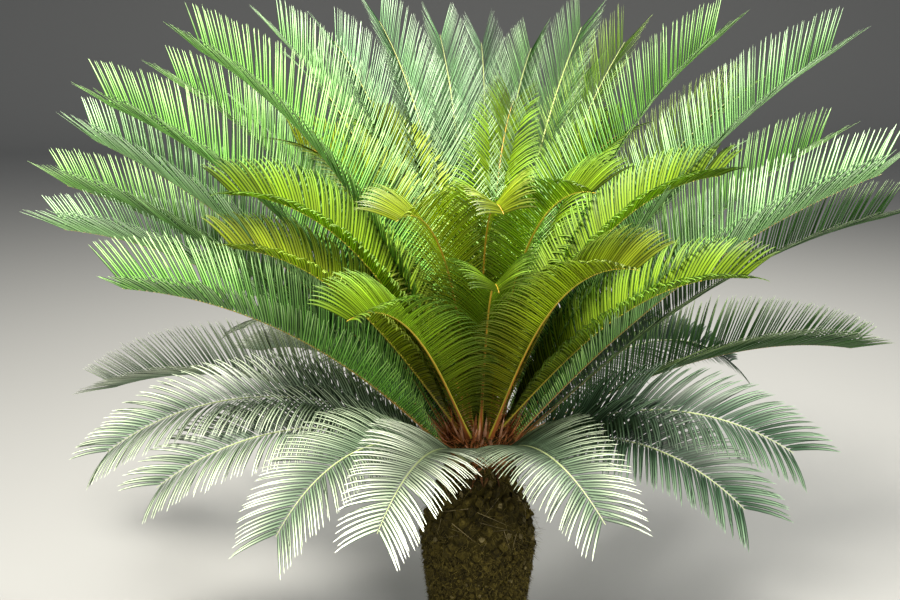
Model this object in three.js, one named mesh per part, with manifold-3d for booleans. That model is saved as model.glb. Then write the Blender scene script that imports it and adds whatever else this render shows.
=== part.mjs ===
// A sago palm: a stout, scaly trunk under a wide crown of arching, comb-like fronds.
// Units are millimetres and +Z is up. The origin is the middle of the trunk's flat cut at ground level.
// A heading is the way a frond leans, in degrees seen from above: 0 is towards -Y, 90 towards +X
// and 180 towards +Y. A rise is an angle above the horizontal, and all angles are in degrees.
import * as THREE from 'three';
import Module from 'manifold-3d';

const TRUNK = {
  footRadius: 131, flare: 9, flareHeight: 18, // the cut end widens a little where the roots begin
  bellyRadius: 151, bellyHeight: 225,
  neckRadius: 86, neckHeight: 455,
  shoulderRadius: 108, shoulderHeight: 492, // the shoulder carries the oldest fronds
  topRadius: 30, topHeight: 576, domePower: 1.5,
  columns: 21, scaleRows: 20, headRows: 5, // diamond leaf scars round the trunk and up it
  scaleRelief: 13, peakRise: 3, // each scar stands out this far, with its point a little above its middle
};

const BUD = {
  radius: 21, height: 88, sides: 10,
  belly: 24, bellyUp: 0.25, // the radius where it is widest, and how far up that is as a share of its height
  taper: 13, taperUp: 0.65,
  gap: 0.35, // above the trunk's top
};

// One frond: a rachis that tapers from the petiole to the tip, with leaflets on both sides.
const FROND = {
  petioleSegments: 2, leafletPairs: 17, stepsPerSegment: 4,
  baseWidth: 14, baseThickness: 11, tipWidth: 5, tipThickness: 4,
  sunkBase: 16, // how far the petiole starts inside the trunk's head before it is cut to it
  // Lengths of leaflets as shares of the longest: the lowest, those at the tip and the one that ends the
  // rachis. They reach full length at fullBy of the way up the blade.
  lowest: 0.3, atTip: 0.64, last: 0.3, fullBy: 0.25,
  slantPower: 1.2, // above 1, the leaflets start to lean forward late
};

// Three ages of frond. hook is how late along a frond its bend comes, frontBend and frontLength how much
// more it bends and how much longer it is where it leans to the front, and sway how much its rise varies.
// leaflet is the longest leaflet, keel how steeply the leaflets stand up from the blade in a V, and turn
// how far that V is turned towards the open front where a frond leans to the side. slant and slantAtTip
// are the angle between leaflets and rachis, low on the blade and at its tip. backSlant is how much that
// last angle changes where a frond leans to the back.
const OLD = {
  hook: 1.6, frontBend: 0.2, frontLength: -0.3, sway: 3,
  leaflet: 196, keel: 48, turn: 24, slant: 68, slantAtTip: 46, backSlant: -14, color: 0x4f7d5c,
};
const YOUNG = {
  hook: 2.6, frontBend: 0.7, frontLength: 0, sway: 7,
  leaflet: 160, keel: 38, turn: 20, slant: 76, slantAtTip: 46, backSlant: 0, color: 0x86a827,
};
const HANGING = {
  hook: 1.4, frontBend: 0, frontLength: -0.3, sway: 3,
  leaflet: 165, keel: 4, turn: 24, slant: 68, slantAtTip: 40, backSlant: 0, color: 0x7d9c87,
};

// Each tier is a ring of fronds that sit at one height on the trunk's head, listed by their headings.
// The front of the upper tiers is open, and the crown leans back. bend is how far a frond has turned
// down by its tip, and seed sets the small differences between the fronds. null leaves a place in a ring
// empty, where the plume's fronds stand above it.
const TIERS = [
  { name: 'young_front', rise: 54, length: 800, bend: 39, seat: 549, seed: 5878, ...YOUNG,
    headings: [-67, -22, 2, 24, 66] },
  { name: 'young_middle', rise: 68, length: 905, bend: 50, seat: 560, seed: 5064, ...YOUNG,
    headings: [-75, -17, 0, 19, 81] },
  { name: 'young_back', rise: 73, length: 885, bend: 59, seat: 571, seed: 7422, ...YOUNG,
    headings: [-116, -140, -168, 168, 126] },
  { name: 'crest', rise: 69, length: 1184, bend: 38, seat: 546, seed: 4301, ...OLD,
    headings: [-99, -134, -144, -164, -172, 176, 152, 142, 119] },
  { name: 'plume', rise: 71, length: 1184, bend: 38, seat: 555, seed: 5005, ...OLD,
    headings: [-158, 169] },
  { name: 'shoulder', rise: 58, length: 1215, bend: 34, seat: 530, seed: 790, ...OLD,
    headings: [-95, -121, -146, -175, 157, 124, 96] },
  { name: 'wing', rise: 47, length: 1176, bend: 27, seat: 517, seed: 1289, ...OLD,
    headings: [-92, -103, -136, null, null, 112, 81] },
  { name: 'spread', rise: 43, length: 1116, bend: 38, seat: 504, seed: 1402, ...OLD,
    headings: [-64, -99, -152, 169, 134, 100] },
  { name: 'skirt', rise: 16, length: 1050, bend: 34, seat: 490, seed: 1474, ...OLD,
    headings: [-111, -142, 178, 142, 110] },
  { name: 'hanging', rise: 36, length: 965, bend: 71, seat: 479, seed: 1162, ...HANGING,
    headings: [-70, -59, -37, -17, 16, 44, 56, 126, -130] },
];

const STAGGER = { seat: 9, rise: 5 }; // every second frond of a tier sits and leans this much lower
const VARIETY = { length: 0.04, bend: 0.14, sweep: 8, roll: 12 }; // the most that a frond differs by

const CLEARANCE = 0.6; // between a leaflet and anything of another frond
const CUT_GAP = 0.45; // by which the trunk is swollen to cut the petioles off clear of it
const LEAFLET_CUTS = [1, 0.8, 0.6, 0.42, 0.28]; // a leaflet that would touch is shortened, then left out

const wasm = await Module();
wasm.setup();

const radians = THREE.MathUtils.degToRad;
const mix = THREE.MathUtils.lerp;
const smooth = (t) => THREE.MathUtils.smoothstep(t, 0, 1);

// A repeatable number between -1 and 1, so that no two fronds are quite alike.
function wobble(seed, kind) {
  const v = Math.sin(seed * 12.9898 + kind * 78.233) * 43758.5453;
  return 2 * (v - Math.floor(v)) - 1;
}

// Radius of the trunk at a height, from its flared foot over the belly and neck to the domed head.
function trunkRadius(z) {
  const t = TRUNK;
  const between = (low, high) => smooth((z - low) / (high - low));
  if (z <= t.bellyHeight) {
    const flare = t.flare * Math.exp(-z / t.flareHeight);
    return mix(t.footRadius, t.bellyRadius, between(0, t.bellyHeight)) + flare;
  }
  if (z <= t.neckHeight) {
    return mix(t.bellyRadius, t.neckRadius, between(t.bellyHeight, t.neckHeight));
  }
  if (z <= t.shoulderHeight) {
    return mix(t.neckRadius, t.shoulderRadius, between(t.neckHeight, t.shoulderHeight));
  }
  const up = Math.min(1, (z - t.shoulderHeight) / (t.topHeight - t.shoulderHeight));
  return mix(t.shoulderRadius, t.topRadius, up ** t.domePower);
}

// Collects points and triangles and turns them into an indexed geometry.
class Shell {
  constructor() {
    this.points = [];
    this.faces = [];
  }

  point(x, y, z) {
    this.points.push(x, y, z);
    return this.points.length / 3 - 1;
  }

  face(a, b, c) {
    this.faces.push(a, b, c);
  }

  // a, b, c, d run anticlockwise seen from outside.
  quad(a, b, c, d) {
    this.face(a, b, c);
    this.face(a, c, d);
  }

  geometry() {
    const made = new THREE.BufferGeometry();
    made.setAttribute('position', new THREE.Float32BufferAttribute(this.points, 3));
    made.setIndex(this.faces);
    return made;
  }
}

function solidOf(geometry) {
  return new wasm.Manifold(new wasm.Mesh({
    numProp: 3,
    vertProperties: new Float32Array(geometry.getAttribute('position').array),
    triVerts: new Uint32Array(geometry.index.array),
  }));
}

function geometryOf(solid) {
  const mesh = solid.getMesh();
  const made = new THREE.BufferGeometry();
  made.setAttribute('position', new THREE.BufferAttribute(new Float32Array(mesh.vertProperties), 3));
  made.setIndex(new THREE.BufferAttribute(new Uint32Array(mesh.triVerts), 1));
  return made;
}

// The trunk's rings are staggered by half a column, so four neighbouring points frame a diamond leaf scar,
// which is raised to a low point in its middle. The rings of the head are plain. grow swells it all round.
function trunkGeometry(grow = 0) {
  const t = TRUNK;
  const shell = new Shell();
  const heights = [];
  for (let row = 0; row <= t.scaleRows; row++) {
    heights.push((t.neckHeight * row) / t.scaleRows);
  }
  for (let row = 1; row <= t.headRows; row++) {
    heights.push(mix(t.neckHeight, t.topHeight, row / t.headRows));
  }
  const step = (2 * Math.PI) / t.columns;
  const place = (column, row, out, up) => {
    const angle = (column + (row % 2) / 2) * step;
    const z = heights[row] + (heights[row] > t.shoulderHeight ? grow : 0) + up;
    const radius = trunkRadius(heights[row]) + grow + out;
    return shell.point(radius * Math.cos(angle), radius * Math.sin(angle), z);
  };
  const valley = (row) => (row > 0 && row < t.scaleRows ? -t.scaleRelief / 2 : 0);
  const rings = heights.map((_, row) => (
    Array.from({ length: t.columns }, (_, column) => place(column, row, valley(row), 0))));
  const at = (row, column) => rings[row][(column + t.columns) % t.columns];
  // The point of a neighbouring ring that stands between points column and column + 1 of this one.
  const between = (row, column) => (row % 2 ? column + 1 : column);

  for (let column = 0; column < t.columns; column++) {
    shell.face(at(0, column), at(0, column + 1), at(1, between(0, column)));
    for (let row = 1; row < t.scaleRows; row++) {
      const middle = between(row, column);
      const left = at(row, column);
      const right = at(row, column + 1);
      const peak = place(column + 0.5, row, t.scaleRelief / 2, t.peakRise);
      const corners = [left, at(row - 1, middle), right, at(row + 1, middle)];
      corners.forEach((corner, i) => shell.face(corner, corners[(i + 1) % 4], peak));
    }
    for (let row = t.scaleRows; row < rings.length - 1; row++) {
      const middle = between(row, column);
      shell.face(at(row, column), at(row, column + 1), at(row + 1, middle));
      shell.face(at(row, column + 1), at(row + 1, middle + 1), at(row + 1, middle));
    }
    const under = at(t.scaleRows - 1, between(t.scaleRows, column));
    shell.face(at(t.scaleRows, column + 1), at(t.scaleRows, column), under);
  }
  const top = rings.length - 1;
  for (let column = 1; column < t.columns - 1; column++) {
    shell.face(at(0, 0), at(0, column + 1), at(0, column));
    shell.face(at(top, 0), at(top, column), at(top, column + 1));
  }
  return shell.geometry();
}

// The pointed bud of furled leaves in the middle of the crown.
function budGeometry() {
  const b = BUD;
  const profile = [
    new THREE.Vector2(0, 0),
    new THREE.Vector2(b.radius, 0),
    new THREE.Vector2(b.belly, b.height * b.bellyUp),
    new THREE.Vector2(b.taper, b.height * b.taperUp),
    new THREE.Vector2(0, b.height),
  ];
  return new THREE.LatheGeometry(profile, b.sides)
    .rotateX(Math.PI / 2)
    .translate(0, 0, TRUNK.topHeight + b.gap);
}

// The line of a rachis and the frame along it: where it goes, its right-hand side and its upper side.
function frondLine(plan) {
  const f = FROND;
  const steps = (f.petioleSegments + f.leafletPairs) * f.stepsPerSegment;
  const heading = radians(plan.heading);
  const seatRadius = trunkRadius(plan.seat);
  const point = new THREE.Vector3(seatRadius * Math.sin(heading), -seatRadius * Math.cos(heading), plan.seat);
  const frames = [];
  for (let i = 0; i <= steps; i++) {
    const s = i / steps;
    const rise = radians(plan.rise - plan.bend * s ** plan.hook);
    const turn = heading + radians(plan.sweep) * s * s;
    const along = new THREE.Vector3(
      Math.cos(rise) * Math.sin(turn), -Math.cos(rise) * Math.cos(turn), Math.sin(rise));
    const side = new THREE.Vector3(Math.cos(turn), Math.sin(turn), 0);
    side.applyAxisAngle(along, radians(plan.roll) * s);
    frames.push({ point: point.clone(), along, side, up: along.clone().cross(side) });
    point.addScaledVector(along, plan.length / steps);
  }
  return frames;
}

// How long a leaflet is at share u of the blade, as a share of the longest.
const leafletShare = (u) => mix(FROND.lowest, 1, Math.min(1, u / FROND.fullBy)) * mix(1, FROND.atTip, u ** 3);

// Four corners round the rachis at a frame: right-up, left-up, left-down, right-down.
function rachisCorners(shell, frame, s) {
  const width = mix(FROND.baseWidth, FROND.tipWidth, Math.sqrt(s)) / 2;
  const thick = mix(FROND.baseThickness, FROND.tipThickness, Math.sqrt(s)) / 2;
  return [[1, 1], [-1, 1], [-1, -1], [1, -1]].map(([x, y]) => {
    const p = frame.point.clone().addScaledVector(frame.side, x * width).addScaledVector(frame.up, y * thick);
    return shell.point(p.x, p.y, p.z);
  });
}

const sharedPoint = (shell, i) => new THREE.Vector3().fromArray(shell.points, i * 3);

// The rings of one frond, and its leaflets as they would grow with nothing in their way.
function planFrond(plan) {
  const f = FROND;
  const frames = frondLine(plan);
  const shell = new Shell();
  const base = { ...frames[0], point: frames[0].point.clone().addScaledVector(frames[0].along, -f.sunkBase) };
  const stations = [base];
  for (let i = f.stepsPerSegment; i < frames.length; i += f.stepsPerSegment) {
    stations.push(frames[i]);
  }
  const rings = stations.map((frame, i) => rachisCorners(shell, frame, i / (stations.length - 1)));
  const leaflets = [];
  for (let pair = 0; pair < f.leafletPairs; pair++) {
    const ring = f.petioleSegments + pair;
    const u = (pair + 0.5) / f.leafletPairs;
    const frame = frames[Math.round((ring + 0.5) * f.stepsPerSegment)];
    const slant = radians(mix(plan.slant, plan.slantAtTip, u ** FROND.slantPower));
    const keel = radians(plan.keel);
    const turn = radians(plan.turn) * frame.side.y;
    const side = frame.side.clone().applyAxisAngle(frame.along, turn);
    const up = frame.up.clone().applyAxisAngle(frame.along, turn);
    for (const hand of [1, -1]) {
      const way = frame.along.clone().multiplyScalar(Math.cos(slant))
        .addScaledVector(side, hand * Math.sin(slant) * Math.cos(keel))
        .addScaledVector(up, Math.sin(slant) * Math.sin(keel));
      leaflets.push({ ring, hand, root: frame.point, way, length: plan.leaflet * leafletShare(u), kept: 0 });
    }
  }
  return { plan, frames, shell, rings, leaflets };
}

// The side of the rachis that a leaflet grows from, anticlockwise seen from outside.
function rootCorners(frond, leaflet) {
  const [near, far] = [frond.rings[leaflet.ring], frond.rings[leaflet.ring + 1]];
  return leaflet.hand > 0 ? [near[3], near[0], far[0], far[3]] : [near[1], near[2], far[2], far[1]];
}

const leafletTip = (leaflet, share) => (
  leaflet.root.clone().addScaledVector(leaflet.way, leaflet.length * share));

// A leaflet alone, as a slim pyramid on its root, for measuring how near it comes to others.
function leafletSolid(frond, leaflet, share) {
  const shell = new Shell();
  const corners = rootCorners(frond, leaflet).map((i) => {
    const p = sharedPoint(frond.shell, i);
    return shell.point(p.x, p.y, p.z);
  });
  const tip = leafletTip(leaflet, share);
  const apex = shell.point(tip.x, tip.y, tip.z);
  corners.forEach((corner, i) => shell.face(corner, corners[(i + 1) % 4], apex));
  shell.quad(corners[3], corners[2], corners[1], corners[0]);
  return boxed(shell.geometry());
}

function boxed(geometry) {
  geometry.computeBoundingBox();
  return { solid: solidOf(geometry), box: geometry.boundingBox.clone().expandByScalar(CLEARANCE) };
}

// The frond's closed surface: rachis, tip, and each leaflet at the length it was given.
function frondGeometry(frond) {
  const { rings, leaflets } = frond;
  const shell = new Shell();
  shell.points = [...frond.shell.points];
  const last = rings.length - 1;
  shell.quad(...rings[0].toReversed());
  const end = frond.frames[frond.frames.length - 1];
  const tip = end.point.clone().addScaledVector(end.along, frond.plan.leaflet * FROND.last);
  const apex = shell.point(tip.x, tip.y, tip.z);
  for (let i = 0; i < 4; i++) {
    shell.face(rings[last][i], rings[last][(i + 1) % 4], apex);
  }
  for (let i = 0; i < last; i++) {
    const [near, far] = [rings[i], rings[i + 1]];
    shell.quad(near[0], near[1], far[1], far[0]);
    shell.quad(near[2], near[3], far[3], far[2]);
    if (i < FROND.petioleSegments) {
      shell.quad(near[1], near[2], far[2], far[1]);
      shell.quad(near[3], near[0], far[0], far[3]);
    }
  }
  for (const leaflet of leaflets) {
    const corners = rootCorners(frond, leaflet);
    if (!leaflet.kept) {
      shell.quad(...corners);
      continue;
    }
    const p = leafletTip(leaflet, leaflet.kept);
    const point = shell.point(p.x, p.y, p.z);
    corners.forEach((corner, i) => shell.face(corner, corners[(i + 1) % 4], point));
  }
  return shell.geometry();
}

function planCrown() {
  const fronds = [];
  for (const tier of TIERS) {
    tier.headings.forEach((heading, i) => {
      if (heading === null) {
        return;
      }
      const seed = tier.seed + i;
      const front = Math.max(0, Math.cos(radians(heading)));
      const back = Math.max(0, -Math.cos(radians(heading)));
      const second = i % 2;
      fronds.push(planFrond({
        ...tier,
        name: `${tier.name}_${String(i + 1).padStart(2, '0')}`,
        heading,
        seat: tier.seat - second * STAGGER.seat,
        rise: tier.rise + (0.5 - second) * STAGGER.rise + wobble(seed, 2) * tier.sway,
        length: tier.length * (1 + tier.frontLength * front) * (1 + wobble(seed, 3) * VARIETY.length),
        bend: tier.bend * (1 + tier.frontBend * front) * (1 + wobble(seed, 4) * VARIETY.bend),
        sweep: wobble(seed, 5) * VARIETY.sweep,
        roll: wobble(seed, 6) * VARIETY.roll,
        slantAtTip: tier.slantAtTip + tier.backSlant * back,
      }));
    });
  }
  return fronds;
}

// How far a leaflet's tip would be from the middle of the crown.
function reach({ leaflet }) {
  return leafletTip(leaflet, 1).distanceTo(new THREE.Vector3(0, 0, TRUNK.topHeight));
}

// Gives every leaflet the greatest length that stays clear of all other fronds. Those that reach furthest
// out go first, so that the crown keeps its outline.
function settleLeaflets(fronds) {
  const rachises = fronds.map((frond) => boxed(frondGeometry(frond)));
  const settled = [];
  const waiting = fronds.flatMap((frond, owner) => (
    frond.leaflets.map((leaflet) => ({ frond, owner, leaflet }))));
  waiting.sort((a, b) => reach(b) - reach(a));
  for (const { frond, owner, leaflet } of waiting) {
    for (const share of LEAFLET_CUTS) {
      const tried = leafletSolid(frond, leaflet, share);
      const touches = (other) => (
        tried.box.intersectsBox(other.box) && tried.solid.minGap(other.solid, CLEARANCE * 2) < CLEARANCE);
      const blocked = rachises.some((other, i) => i !== owner && touches(other))
        || settled.some((other) => other.owner !== owner && touches(other));
      if (!blocked) {
        leaflet.kept = share;
        settled.push({ ...tried, owner });
        break;
      }
    }
  }
}

const bark = new THREE.MeshStandardMaterial({ color: 0x5a4630, roughness: 0.95, metalness: 0 });
const wool = new THREE.MeshStandardMaterial({ color: 0x9a6234, roughness: 1, metalness: 0 });
const foliage = (color) => new THREE.MeshStandardMaterial({ color, roughness: 0.5, metalness: 0 });

const palm = new THREE.Group();

function addPiece(name, geometry, material) {
  const mesh = new THREE.Mesh(geometry, material);
  mesh.name = name;
  palm.add(mesh);
}

addPiece('trunk', trunkGeometry(), bark);
addPiece('crown_bud', budGeometry(), wool);

const fronds = planCrown();
settleLeaflets(fronds);
const head = solidOf(trunkGeometry(CUT_GAP));
for (const frond of fronds) {
  const cut = solidOf(frondGeometry(frond)).subtract(head);
  addPiece(frond.plan.name, geometryOf(cut), foliage(frond.plan.color));
}

export default palm;
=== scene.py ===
# A sago palm: single leaflets on every frond, scaly bark and a woolly crown, grown round the CAD frame.
# Metres, +Z up, with the origin in the middle of the trunk's foot. A heading is the way a frond leans,
# in degrees seen from above: 0 is towards -Y, 90 towards +X and 180 towards +Y.
import math

import bmesh
import bpy
import numpy as np
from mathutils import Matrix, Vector, noise


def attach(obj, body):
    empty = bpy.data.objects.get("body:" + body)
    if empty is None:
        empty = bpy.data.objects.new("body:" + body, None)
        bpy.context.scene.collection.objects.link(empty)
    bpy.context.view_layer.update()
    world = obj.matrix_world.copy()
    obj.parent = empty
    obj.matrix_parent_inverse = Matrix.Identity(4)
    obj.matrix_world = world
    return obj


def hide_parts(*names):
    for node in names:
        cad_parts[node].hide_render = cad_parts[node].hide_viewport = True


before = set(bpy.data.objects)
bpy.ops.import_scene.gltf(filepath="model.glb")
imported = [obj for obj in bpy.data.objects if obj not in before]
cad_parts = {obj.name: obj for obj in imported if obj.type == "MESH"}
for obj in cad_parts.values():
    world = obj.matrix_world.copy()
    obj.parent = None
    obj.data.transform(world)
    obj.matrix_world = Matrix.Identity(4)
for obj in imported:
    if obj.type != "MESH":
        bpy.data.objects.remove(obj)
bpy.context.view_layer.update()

# where the photograph was taken from, at a standing eye's height
photoView = {"place": (-0.075, -2.65, 1.55), "pitch": 14.2, "lens": 43.2, "sensor": 36}


def addObject(name, data):
    thing = bpy.data.objects.new(name, data)
    bpy.context.scene.collection.objects.link(thing)
    return thing


def placeCamera():
    data = bpy.data.cameras.new("photoCamera")
    data.lens = photoView["lens"]
    data.sensor_width = photoView["sensor"]
    camera = addObject("photoCamera", data)
    camera.location = photoView["place"]
    camera.rotation_euler = (math.radians(90 - photoView["pitch"]), 0, 0)
    bpy.context.scene.camera = camera


placeCamera()


def mix(low, high, share):
    return low + (high - low) * share


def smooth(share):
    share = np.clip(share, 0, 1)
    return share * share * (3 - 2 * share)


def unit(vectors):
    return vectors / np.linalg.norm(vectors, axis=-1, keepdims=True)


def rotate(first, second, angle):
    # two directions at right angles, turned so that the first goes towards the second
    return first * np.cos(angle) + second * np.sin(angle), second * np.cos(angle) - first * np.sin(angle)


# the trunk's outline, as in the solids
trunk = {
    "footRadius": 0.131, "flare": 0.009, "flareHeight": 0.018,
    "bellyRadius": 0.151, "bellyHeight": 0.225,
    "neckRadius": 0.086, "neckHeight": 0.455,
    "shoulderRadius": 0.108, "shoulderHeight": 0.492,
    "topRadius": 0.030, "topHeight": 0.576, "domePower": 1.5,
}


def trunkRadius(z):
    t = trunk
    z = np.asarray(z, float)

    def between(low, high):
        return smooth((z - low) / (high - low))

    foot = mix(t["footRadius"], t["bellyRadius"], between(0, t["bellyHeight"]))
    foot = foot + t["flare"] * np.exp(-z / t["flareHeight"])
    waist = mix(t["bellyRadius"], t["neckRadius"], between(t["bellyHeight"], t["neckHeight"]))
    collar = mix(t["neckRadius"], t["shoulderRadius"], between(t["neckHeight"], t["shoulderHeight"]))
    domeHeight = t["topHeight"] - t["shoulderHeight"]
    up = np.clip((z - t["shoulderHeight"]) / domeHeight, 0, 1)
    dome = mix(t["shoulderRadius"], t["topRadius"], up ** t["domePower"])
    levels = [z <= t["bellyHeight"], z <= t["neckHeight"], z <= t["shoulderHeight"]]
    return np.select(levels, [foot, waist, collar], dome)


def aroundTrunk(angle):
    # the outward, sideways and upward directions at angles round the trunk
    level = np.zeros(len(angle))
    out = np.stack([np.cos(angle), np.sin(angle), level], -1)
    sideways = np.stack([-np.sin(angle), np.cos(angle), level], -1)
    return out, sideways, np.tile([0, 0, 1.0], (len(angle), 1))


# one frond, as in the solids: a petiole and a blade in even segments, how long the leaflets are along the
# blade, and how much the fronds of a ring differ
frondBuild = {
    "petioleSegments": 2, "bladeSegments": 17, "stepsPerSegment": 4,
    "baseWidth": 0.014, "baseThick": 0.011, "tipWidth": 0.005, "tipThick": 0.004,
    "lowest": 0.3, "fullBy": 0.25, "atTip": 0.64, "tipPower": 3, "slantPower": 1.2,
    "spineReach": 0.12, "lastSpine": 0.15,
    "staggerSeat": 0.009, "staggerRise": 5,
    "varyLength": 0.04, "varyBend": 0.14, "varySweep": 8, "varyRoll": 12,
}
bladeStart = frondBuild["petioleSegments"] / (frondBuild["petioleSegments"] + frondBuild["bladeSegments"])

# three ages of frond, and the rings of fronds round the trunk's head
frondAges = {
    "old": {"hook": 1.6, "frontBend": 0.2, "frontLength": -0.3, "sway": 3,
            "leaflet": 0.196, "keel": 48, "slant": 68, "slantAtTip": 46, "backSlant": -14},
    "young": {"hook": 2.6, "frontBend": 0.7, "frontLength": 0, "sway": 7,
              "leaflet": 0.160, "keel": 38, "slant": 76, "slantAtTip": 46, "backSlant": 0},
    "hanging": {"hook": 1.4, "frontBend": 0, "frontLength": -0.3, "sway": 3,
                "leaflet": 0.165, "keel": 4, "slant": 68, "slantAtTip": 40, "backSlant": 0},
}
frondTiers = [
    {"name": "young_front", "age": "young", "rise": 54, "length": 0.800, "bend": 39, "seat": 0.549,
     "seed": 5878, "headings": (-67, -22, 2, 24, 66)},
    {"name": "young_middle", "age": "young", "rise": 68, "length": 0.905, "bend": 50, "seat": 0.560,
     "seed": 5064, "headings": (-75, -17, 0, 19, 81)},
    {"name": "young_back", "age": "young", "rise": 73, "length": 0.885, "bend": 59, "seat": 0.571,
     "seed": 7422, "headings": (-116, -140, -168, 168, 126)},
    {"name": "crest", "age": "old", "rise": 69, "length": 1.184, "bend": 38, "seat": 0.546,
     "seed": 4301, "headings": (-99, -134, -144, -164, -172, 176, 152, 142, 119)},
    {"name": "plume", "age": "old", "rise": 71, "length": 1.184, "bend": 38, "seat": 0.555,
     "seed": 5005, "headings": (-158, 169)},
    {"name": "shoulder", "age": "old", "rise": 58, "length": 1.215, "bend": 34, "seat": 0.530,
     "seed": 790, "headings": (-95, -121, -146, -175, 157, 124, 96)},
    # the plume stands above the two empty places
    {"name": "wing", "age": "old", "rise": 47, "length": 1.176, "bend": 27, "seat": 0.517,
     "seed": 1289, "headings": (-92, -103, -136, None, None, 112, 81)},
    {"name": "spread", "age": "old", "rise": 43, "length": 1.116, "bend": 38, "seat": 0.504,
     "seed": 1402, "headings": (-64, -99, -152, 169, 134, 100)},
    {"name": "skirt", "age": "old", "rise": 16, "length": 1.050, "bend": 34, "seat": 0.490,
     "seed": 1474, "headings": (-111, -142, 178, 142, 110)},
    {"name": "hanging", "age": "hanging", "rise": 36, "length": 0.965, "bend": 71, "seat": 0.479,
     "seed": 1162, "headings": (-70, -59, -37, -17, 16, 44, 56, 126, -130)},
]


def wobble(seed, kind):
    # a repeatable number between -1 and 1, another for each kind of difference, from a large sine's fraction
    value = math.sin(seed * 12.9898 + kind * 78.233) * 43758.5453
    return 2 * (value - math.floor(value)) - 1


def planTier(tier):
    # every second frond of a ring starts lower and rises less
    build = frondBuild
    age = frondAges[tier["age"]]
    plans = []
    for i, heading in enumerate(tier["headings"]):
        if heading is None:
            continue
        seed = tier["seed"] + i
        second = i % 2
        front = max(0, math.cos(math.radians(heading)))
        back = max(0, -math.cos(math.radians(heading)))
        rise = tier["rise"] + (0.5 - second) * build["staggerRise"] + wobble(seed, 2) * age["sway"]
        length = tier["length"] * (1 + age["frontLength"] * front)
        bend = tier["bend"] * (1 + age["frontBend"] * front)
        plans.append({
            **age,
            "node": f"{tier['name']}_{i + 1:02d}", "age": tier["age"], "seed": seed, "heading": heading,
            "seat": tier["seat"] - second * build["staggerSeat"], "rise": rise,
            "length": length * (1 + wobble(seed, 3) * build["varyLength"]),
            "bend": bend * (1 + wobble(seed, 4) * build["varyBend"]),
            "sweep": wobble(seed, 5) * build["varySweep"],
            "roll": wobble(seed, 6) * build["varyRoll"],
            "slantAtTip": age["slantAtTip"] + age["backSlant"] * back,
        })
    return plans


def frondLine(plan):
    # the rachis in small steps, with its direction, its right-hand side and its upper side
    build = frondBuild
    steps = (build["petioleSegments"] + build["bladeSegments"]) * build["stepsPerSegment"]
    s = np.arange(steps + 1) / steps
    rise = np.radians(plan["rise"] - plan["bend"] * s ** plan["hook"])
    turn = np.radians(plan["heading"] + plan["sweep"] * s * s)
    along = np.stack([np.cos(rise) * np.sin(turn), -np.cos(rise) * np.cos(turn), np.sin(rise)], -1)
    level = np.stack([np.cos(turn), np.sin(turn), np.zeros_like(turn)], -1)
    roll = (np.radians(plan["roll"]) * s)[:, None]
    side = level * np.cos(roll) + np.cross(along, level) * np.sin(roll)
    heading = math.radians(plan["heading"])
    radius = float(trunkRadius(plan["seat"]))
    start = np.array([radius * math.sin(heading), -radius * math.cos(heading), plan["seat"]])
    walked = np.cumsum(along[:-1] * plan["length"] / steps, axis=0)
    place = start + np.concatenate([np.zeros((1, 3)), walked])
    return {"s": s, "place": place, "along": along, "side": side, "up": np.cross(along, side)}


def sampleLine(line, s):
    # places and directions at any shares of the frond's length
    def at(values):
        return np.stack([np.interp(s, line["s"], values[:, axis]) for axis in range(3)], -1)

    return at(line["place"]), unit(at(line["along"])), unit(at(line["side"])), unit(at(line["up"]))


def rachisSize(s):
    build = frondBuild
    root = np.sqrt(s)
    width = mix(build["baseWidth"], build["tipWidth"], root)
    return width, mix(build["baseThick"], build["tipThick"], root)


# A strand is a leaflet, rachis, leaf base, scale or fibre: one small template, bent along its own line.
# Its corners are (across, up), in half widths and whole thicknesses.
ridgedCorners = ((-1, 0), (1, 0), (0, 1))  # flat below, with a ridge along the upper side
sharpAngle = 38


def strandTemplate(corners, rings, pointed):
    # a pointed strand ends in one corner, and any other in a face, which "ends" marks
    bm = bmesh.new()
    face = bm.faces.new([bm.verts.new((x, 0, z)) for x, z in corners])
    last = rings - 1
    for _ in range(last):
        # with its edges named, a face inside the strand is taken out as the next ring grows
        grown = bmesh.ops.extrude_face_region(bm, geom=[face, *face.edges])["geom"]
        face = [item for item in grown if isinstance(item, bmesh.types.BMFace)][0]
        bmesh.ops.translate(bm, vec=(0, 1, 0), verts=list(face.verts))
    if pointed:
        bmesh.ops.pointmerge(bm, verts=list(face.verts), merge_co=(0, last, 0))
    bmesh.ops.recalc_face_normals(bm, faces=bm.faces)
    bm.verts.index_update()
    ends = [all(v.co.y > last - 0.5 for v in f.verts) for f in bm.faces]
    template = {
        "shape": np.array([tuple(v.co) for v in bm.verts]),
        "faces": [[v.index for v in f.verts] for f in bm.faces],
        "ends": np.array(ends, int),
    }
    bm.free()
    return template


def addLayer(mesh, label, values):
    layer = mesh.attributes.new(label, "FLOAT", "POINT")
    layer.data.foreach_set("value", np.ascontiguousarray(values, dtype=np.float32).ravel())


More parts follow.
